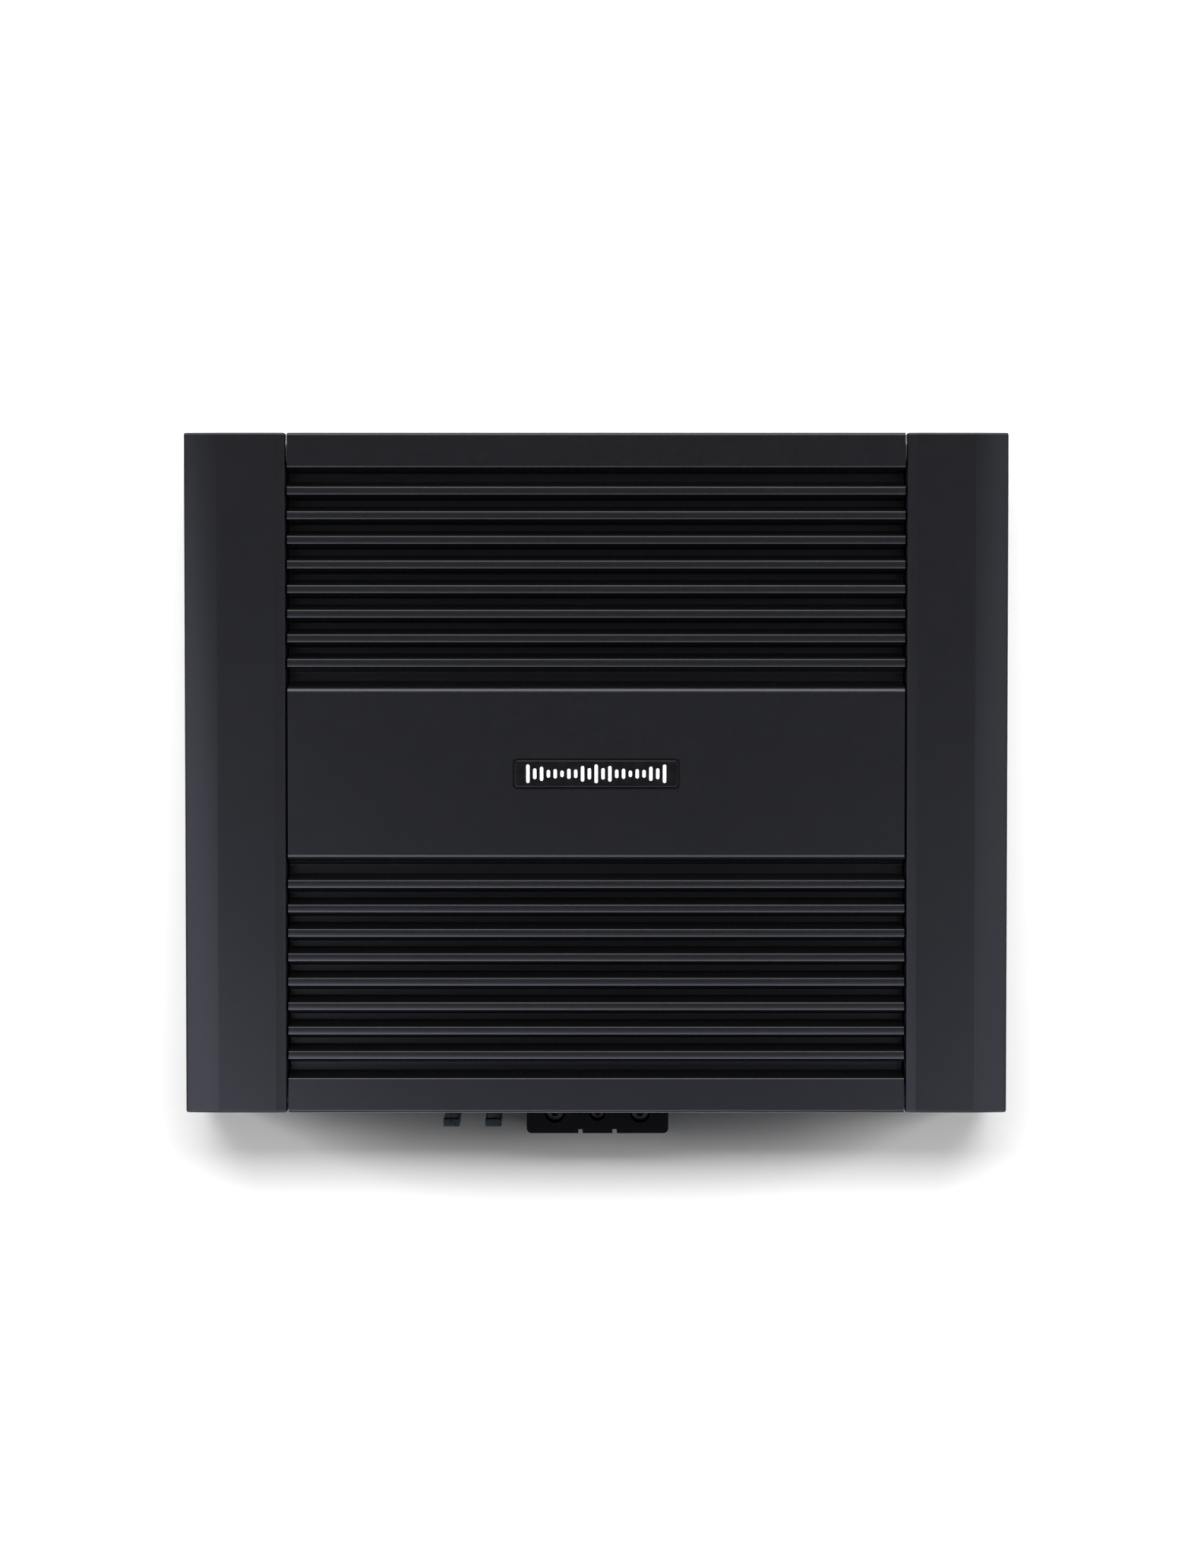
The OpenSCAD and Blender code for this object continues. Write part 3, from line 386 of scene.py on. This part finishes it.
SLOT_MAKERS = {
    "powder_coat": powder_coat,
    "painted_steel": panel_paint,
    "zinc_steel": zinc_plate,
    "black_screws": black_oxide,
    "bright_screws": bright_zinc,
    "badge_black": badge_gloss,
    "badge_white": print_white,
    "black_plastic": moulded_black,
    "knob_plastic": knob_black,
    "brass": brass,
    "nickel": nickel,
    "zinc": fuse_zinc,
    "fuse_plastic": fuse_plastic,
    "pot_plastic": pot_blue,
    "light_lens": light_lens,
    "board": solder_mask,
    "capacitor_sleeve": sleeve_blue,
    "ferrite": ferrite,
    "copper_wire": enamelled_copper,
    "epoxy_case": epoxy_black,
    "insulator": silicone_grey,
}
MATERIALS = {slot: make() for slot, make in SLOT_MAKERS.items()}
NODE_MATERIALS = {"heat_sink": powder_coat("sink_coat", 0.40, 0.56, 0.8)}


# ---------- pieces refined from the frame ----------

# Edges sharper than this are rounded
ROUND_ANGLE = math.radians(28.0)
# Edges sharper than this show as a crease
CRISP_ANGLE = math.radians(50.0)
# Faces that lean less than this from one another are one face
FLAT_ANGLE = math.radians(0.5)
# Corners nearer than this to one another are one corner
SAME_POINT = 0.002 * MM


def link(name, mesh):
    piece = bpy.data.objects.new(name, mesh)
    bpy.context.scene.collection.objects.link(piece)
    return piece


def crisp(mesh):
    """Smooth shading that keeps the sharpest edges."""
    mesh.shade_smooth()
    mesh.set_sharp_from_angle(angle=CRISP_ANGLE)


def settle(piece, body, replaces=None):
    """Gives a finished piece its body and, if it stands for a CAD node, hides that node."""
    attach(piece, body)
    if replaces:
        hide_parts(replaces)
    return piece


def is_ridge(edge):
    """Whether edge is a long one along X near the top of the case."""
    least_length, least_height, most_slant = 50 * MM, 50 * MM, 0.1 * MM
    start, end = (vert.co for vert in edge.verts)
    along_x = abs(start.x - end.x) > least_length and abs(start.y - end.y) < most_slant
    return along_x and min(start.z, end.z) > least_height


def is_sharp(edge):
    return len(edge.link_faces) == 2 and edge.calc_face_angle(0.0) > ROUND_ANGLE


def refined(node, radius, segments):
    """A piece that stands for a CAD node: its flat faces whole again and its edges finely rounded."""
    source = frame["nodes"][node]
    mesh = bpy.data.meshes.new(node + "_piece")
    bm = bmesh.new()
    bm.from_mesh(source.data)
    bmesh.ops.remove_doubles(bm, verts=bm.verts, dist=SAME_POINT)
    bmesh.ops.dissolve_degenerate(bm, edges=bm.edges, dist=SAME_POINT / 2)
    bmesh.ops.dissolve_limit(bm, angle_limit=FLAT_ANGLE, verts=bm.verts, edges=bm.edges)
    sharp = [edge for edge in bm.edges if is_sharp(edge)]
    if node == "heat_sink":
        sharp = [edge for edge in sharp if is_ridge(edge)]
    bmesh.ops.bevel(bm, geom=sharp, offset=radius, segments=segments, profile=0.5, affect="EDGES",
                    clamp_overlap=node not in ROOMY_EDGES, offset_type="OFFSET")
    bmesh.ops.recalc_face_normals(bm, faces=bm.faces)
    bm.to_mesh(mesh)
    bm.free()
    crisp(mesh)
    piece = link(node + "_piece", mesh)
    weighted = piece.modifiers.new("weighted", "WEIGHTED_NORMAL")
    weighted.keep_sharp = True
    mesh.materials.append(NODE_MATERIALS.get(node) or MATERIALS[SLOT_OF[node]])
    return settle(piece, BODY_OF[node], node)


def paint(piece, material, chosen):
    """Gives another material to the faces that chosen(centre in mm, normal) picks."""
    piece.data.materials.append(material)
    index = len(piece.data.materials) - 1
    for face in piece.data.polygons:
        if chosen(face.center / MM, face.normal):
            face.material_index = index


# Radius of the rounded edges, in millimetres, and its segments, where they differ from the usual
USUAL_EDGE = (0.15, 2)
EDGES = {
    "heat_sink": (0.32, 4),
    "left_side_cover": (0.25, 2),
    "right_side_cover": (0.25, 2),
    "badge_plate": (0.2, 3),
    "badge_motif": (0.04, 1),
    "power_terminal_housing": (0.35, 3),
    "fuse_holder": (0.3, 2),
    "speaker_terminal_strip": (0.25, 2),
    "input_jack_housing": (0.2, 2),
    "left_fuse_body": (0.3, 3),
    "right_fuse_body": (0.3, 3),
    "circuit_board": (0.1, 1),
    "insulator_pads": (0.05, 1),
    "power_transistors": (0.12, 1),
}
# Pieces whose rounded edges all have room, so that no check for overlaps needs to shrink them
ROOMY_EDGES = {"heat_sink", "badge_plate"}
# Nodes whose every turn of wire is modelled further down
WOUND = {"transformer_winding", "output_inductor"}

PIECES = {}
for node_name in sorted(set(frame["nodes"]) - WOUND):
    radius, segments = EDGES.get(node_name, USUAL_EDGE)
    PIECES[node_name] = refined(node_name, radius * MM, segments)


# ---------- details that the CAD model leaves plain, in millimetres ----------

PANEL_FACE = 100.0
BOARD_TOP = 9.6
KNOBS = {"gain_knob": -34.0, "crossover_knob": -12.0, "bass_knob": 10.0}
KNOB_AXIS_Z = 20.0
SWITCHES = (32.0, 51.0)


def built(name, bm, materials, replaces=None):
    """Turns bm into a piece that rides on the chassis."""
    bmesh.ops.recalc_face_normals(bm, faces=bm.faces)
    mesh = bpy.data.meshes.new(name)
    bm.to_mesh(mesh)
    bm.free()
    crisp(mesh)
    for material in materials:
        mesh.materials.append(material)
    return settle(link(name, mesh), "root", replaces)


def wire(bm, path, radius):
    """Sweeps a round wire along path."""
    sides = 8
    turns = [2.0 * math.pi * k / sides for k in range(sides)]
    side = None
    before = None
    for i, point in enumerate(path):
        along = (path[min(i + 1, len(path) - 1)] - path[max(i - 1, 0)]).normalized()
        side = along.orthogonal() if side is None else side
        side = (side - along * side.dot(along)).normalized()
        up = along.cross(side)
        loop = []
        for turn in turns:
            out = side * math.cos(turn) + up * math.sin(turn)
            loop.append(bm.verts.new((point + out * radius) * MM))
        if before:
            for k in range(sides):
                bm.faces.new((before[k], before[k - 1], loop[k - 1], loop[k]))
        else:
            bm.faces.new(loop)
        before = loop
    bm.faces.new(list(reversed(before)))


def winding(centre, inner, outer, low, high, turns, start, span):
    """A path that winds round a ring core: up the outside, over the top, down the bore and back below."""
    corner, steps = 1.4, 4
    corners = ((outer, low, -90.0), (outer, high, 0.0), (inner, high, 90.0), (inner, low, 180.0))
    path = []
    for turn in range(turns):
        for number, (r, z, first) in enumerate(corners):
            mid_r = r - math.copysign(corner, r - (inner + outer) / 2)
            mid_z = z - math.copysign(corner, z - (low + high) / 2)
            for step in range(steps + 1):
                bend = math.radians(first + 90.0 * step / steps)
                progress = (turn + (number + step / (steps + 1)) / 4) / turns
                angle = math.radians(start + span * progress)
                radius = mid_r + corner * math.cos(bend)
                x = centre[0] + radius * math.cos(angle)
                y = centre[1] + radius * math.sin(angle)
                path.append(Vector((x, y, mid_z + corner * math.sin(bend))))
    return path


def core_ring(bm, centre, inner, outer, low, high):
    """A plain ring core."""
    sides = 96
    loops = []
    for radius, height in ((inner, low), (outer, low), (outer, high), (inner, high)):
        loop = []
        for k in range(sides):
            turn = 2.0 * math.pi * k / sides
            x = centre[0] + radius * math.cos(turn)
            y = centre[1] + radius * math.sin(turn)
            loop.append(bm.verts.new(Vector((x, y, height)) * MM))
        loops.append(loop)
    for here, there in zip(loops, loops[1:] + loops[:1]):
        for k in range(sides):
            bm.faces.new((here[k - 1], here[k], there[k], there[k - 1]))


def wind_transformer():
    """A heavy primary under two thinner secondaries, one on each side of the ring."""
    bm = bmesh.new()
    centre = (0.0, 0.0)
    primary = winding(centre, inner=10.25, outer=25.75, low=11.35, high=32.85,
                      turns=39, start=4.0, span=348.0)
    wire(bm, primary, 0.7)
    for start in (20.0, 195.0):
        secondary = winding(centre, inner=9.0, outer=27.0, low=10.1, high=34.1,
                            turns=12, start=start, span=150.0)
        wire(bm, secondary, 0.5)
    built("transformer_turns", bm, [MATERIALS["copper_wire"]], "transformer_winding")


def wind_inductor():
    """One layer of thick wire on a yellow iron-powder ring."""
    bm = bmesh.new()
    centre = (58.0, 24.0)
    core_ring(bm, centre, inner=7.8, outer=13.2, low=11.4, high=21.8)
    core_faces = len(bm.faces)
    layer = winding(centre, inner=6.95, outer=14.05, low=10.55, high=22.65,
                    turns=23, start=10.0, span=330.0)
    wire(bm, layer, 0.78)
    bm.faces.ensure_lookup_table()
    for face in bm.faces[core_faces:]:
        face.material_index = 1
    built("inductor_turns", bm, [iron_powder(), MATERIALS["copper_wire"]], "output_inductor")


def colour_in():
    """Colours and markings that belong to single pieces."""
    can_top, stripe_top = 38.0, 38.6
    cans = PIECES["storage_capacitors"]
    paint(cans, can_aluminium(), lambda c, n: n.z > 0.9 and c.z > can_top)
    paint(cans, stripe_grey(), lambda c, n: n.x > 0.86 and abs(n.z) < 0.1 and c.z < stripe_top)

    case_top, case_foot = 33.22, 23.9
    paint(PIECES["power_transistors"], MATERIALS["nickel"], lambda c, n: c.z > case_top or c.z < case_foot)

    jacks_middle_x = -69.5
    jack_face = PANEL_FACE + 0.6
    jacks = PIECES["input_jack_housing"]
    white = jack_colour("jack_white", (0.70, 0.70, 0.68))
    red = jack_colour("jack_red", (0.45, 0.012, 0.012))
    paint(jacks, white, lambda c, n: c.y > jack_face and c.x < jacks_middle_x)
    paint(jacks, red, lambda c, n: c.y > jack_face and c.x > jacks_middle_x)

    pointer_half_width = 0.36
    pointer_floor, knob_cap = 105.5, 106.2
    for knob, middle in KNOBS.items():
        paint(PIECES[knob], MATERIALS["badge_white"],
              lambda c, n, x=middle: abs(c.x - x) < pointer_half_width
              and pointer_floor < c.y < knob_cap and n.y > 0.5)


def print_face(bm, centre, outline):
    """One printed patch on the rear panel; outline is in X and Z around centre."""
    bm.faces.new([bm.verts.new((centre + Vector((u, 0.0, v))) * MM) for u, v in outline])


def dial_marks():
    """Printed dots round each knob, larger towards the maximum, and two under each switch."""
    bm = bmesh.new()
    ring_r, dots, sides = 7.6, 11, 20
    first_turn, turn_each = 230.0, 28.0
    smallest, growth = 0.28, 0.025
    print_y = PANEL_FACE + 0.02
    circle = [2.0 * math.pi * k / sides for k in range(sides)]
    bar = ((-0.5, -0.2), (0.5, -0.2), (0.5, 0.2), (-0.5, 0.2))
    bar_z, bar_reach = 12.6, 1.5
    for x in KNOBS.values():
        for step in range(dots):
            turn = math.radians(first_turn - turn_each * step)
            size = smallest + growth * step
            centre = Vector((x - ring_r * math.cos(turn), print_y, KNOB_AXIS_Z + ring_r * math.sin(turn)))
            print_face(bm, centre, [(size * math.cos(a), size * math.sin(a)) for a in circle])
    for x in SWITCHES:
        for side in (-1.0, 1.0):
            print_face(bm, Vector((x + side * bar_reach, print_y, bar_z)), bar)
    piece = built("dial_marks", bm, [MATERIALS["badge_white"]])
    film = piece.modifiers.new("film", "SOLIDIFY")
    film.thickness = 0.02 * MM
    film.offset = 0.0


def chip(bm, x, y, size, material):
    """A small block standing on the circuit board."""
    made = bmesh.ops.create_cube(bm, size=1.0)
    for vert in made["verts"]:
        u, v, w = vert.co
        vert.co = Vector((x + u * size[0], y + v * size[1], BOARD_TOP + (w + 0.5) * size[2])) * MM
    for face in {face for vert in made["verts"] for face in vert.link_faces}:
        face.material_index = material


# Parts of the board with nothing else on them: x from, x to, y from, y to
FREE_BOARD = (
    (-46, 46, 33, 57),
    (-44, 44, -57, -33),
    (34, 84, -26, 4),
    (-84, -34, -26, 26),
    (-80, 50, 71, 81),
    (-40, 78, -82, -73),
)
# Length, width, height and material of the surface-mounted parts
SMALL_PARTS = {
    "resistor": (2.0, 1.25, 0.5, 0),
    "capacitor": (2.0, 1.25, 1.1, 1),
    "circuit": (5.0, 4.0, 1.5, 0),
}
MIX = ("resistor",) * 4 + ("capacitor",) * 4 + ("circuit",)


def populate_board():
    """Scatters small components over the free parts of the circuit board."""
    pick = random.Random(20)
    bm = bmesh.new()
    area_each, margin, spacing = 26, 3, 4.2
    pads_past, pads_inside, pad_height = 1.12, 0.86, 0.4
    for x0, x1, y0, y1 in FREE_BOARD:
        placed = []
        for _ in range(int((x1 - x0) * (y1 - y0) / area_each)):
            length, width, height, material = SMALL_PARTS[pick.choice(MIX)]
            if pick.random() < 0.5:
                length, width = width, length
            x = pick.uniform(x0 + margin, x1 - margin)
            y = pick.uniform(y0 + margin, y1 - margin)
            if any(abs(x - u) < spacing and abs(y - v) < spacing for u, v in placed):
                continue
            placed.append((x, y))
            chip(bm, x, y, (length, width, height), material)
            lengthwise = (length * pads_past, width * pads_inside)
            crosswise = (length * pads_inside, width * pads_past)
            chip(bm, x, y, (*(lengthwise if length > width else crosswise), height * pad_height), 2)
    materials = [MATERIALS["epoxy_case"], ceramic_tan(), MATERIALS["bright_screws"]]
    built("board_parts", bm, materials)


wind_transformer()
wind_inductor()
colour_in()
dial_marks()
populate_board()


# ---------- stage, light and camera ----------

def stage_floor():
    """A plain pale floor under the mounting face."""
    floor_size = 12.0
    bpy.ops.mesh.primitive_plane_add(size=floor_size, location=(0.0, 0.0, LOW.z))
    floor = bpy.context.object
    floor.name = "floor"
    s = Shader("floor_white", (0.87, 0.87, 0.87), 0.8, Specular_IOR_Level=0.1)
    s.mottle(0.4, 0.01)
    floor.data.materials.append(s.material)


def softbox(name, tilt, turn, distance, width, height, radiance, tint, seen_by):
    """An area light aimed at the object: tilt from overhead, turn from +Y towards -X, in degrees.

    A matt light lights the floor and the body of the paint, a gloss light only shows as a reflection.
    """
    lamp = bpy.data.lights.new(name, "AREA")
    lamp.shape = "RECTANGLE"
    lamp.size = width
    lamp.size_y = height
    lamp.energy = radiance * math.pi * width * height
    lamp.color = tint
    box = bpy.data.objects.new(name, lamp)
    bpy.context.scene.collection.objects.link(box)
    tilt, turn = math.radians(tilt), math.radians(turn)
    away = Vector((-math.sin(tilt) * math.sin(turn), math.sin(tilt) * math.cos(turn), math.cos(tilt)))
    box.location = away * distance + Vector((0.0, 0.0, HIGH.z))
    box.rotation_euler = away.to_track_quat("Z", "Y").to_euler()
    box.visible_camera = False
    box.visible_glossy = seen_by != "matt"
    box.visible_diffuse = seen_by != "gloss"


WHITE = (1.0, 1.0, 1.0)
NEARLY_WHITE = (0.97, 0.98, 1.04)
COOL = (0.89, 0.93, 1.16)
# Name, tilt, turn, distance, width, height, radiance, tint, and whether matt or gloss surfaces see it
LIGHTS = (
    ("overhead_bank", 25.0, 0.0, 1.6, 1.2, 0.6, 14.8, WHITE, "matt"),
    ("left_bank", 64.0, 80.0, 1.4, 0.5, 0.8, 12.5, WHITE, "matt"),
    ("right_bank", 64.0, -80.0, 1.4, 0.5, 0.8, 12.5, WHITE, "matt"),
    ("rear_box", 58.0, 0.0, 1.3, 2.0, 1.0, 4.8, NEARLY_WHITE, "gloss"),
    ("front_box", 38.0, 180.0, 0.9, 1.55, 0.385, 3.4, COOL, "gloss"),
    ("left_box", 33.0, 124.0, 0.7, 0.7, 0.34, 1.8, COOL, "gloss"),
    ("right_box", 33.0, -114.0, 0.7, 0.7, 0.34, 1.1, COOL, "gloss"),
)
SKY_STRENGTH = 0.05


def studio():
    for light in LIGHTS:
        softbox(*light)
    world = bpy.data.worlds.new("studio")
    bpy.context.scene.world = world
    world.use_nodes = True
    sky = world.node_tree.nodes["Background"]
    sky.inputs["Color"].default_value = (*WHITE, 1.0)
    sky.inputs["Strength"].default_value = SKY_STRENGTH
    bpy.context.scene.view_settings.view_transform = "Standard"


# Where the lens is, from the centre and above the top face, and how far it leans towards the front
CAMERA_X, CAMERA_Y, CAMERA_RISE = 0.25 * MM, 57.3 * MM, 1373.6 * MM
CAMERA_LEAN = math.radians(-2.5225)


def camera():
    """Straight overhead, a little to the rear of the centre, as a product is shot on a copy stand."""
    lens = bpy.data.cameras.new("camera")
    lens.lens = 100.0
    lens.sensor_width = 36.0
    view = bpy.data.objects.new("camera", lens)
    bpy.context.scene.collection.objects.link(view)
    view.location = (CAMERA_X, CAMERA_Y, HIGH.z + CAMERA_RISE)
    view.rotation_euler = (CAMERA_LEAN, 0.0, 0.0)
    bpy.context.scene.camera = view


camera()
stage_floor()
studio()
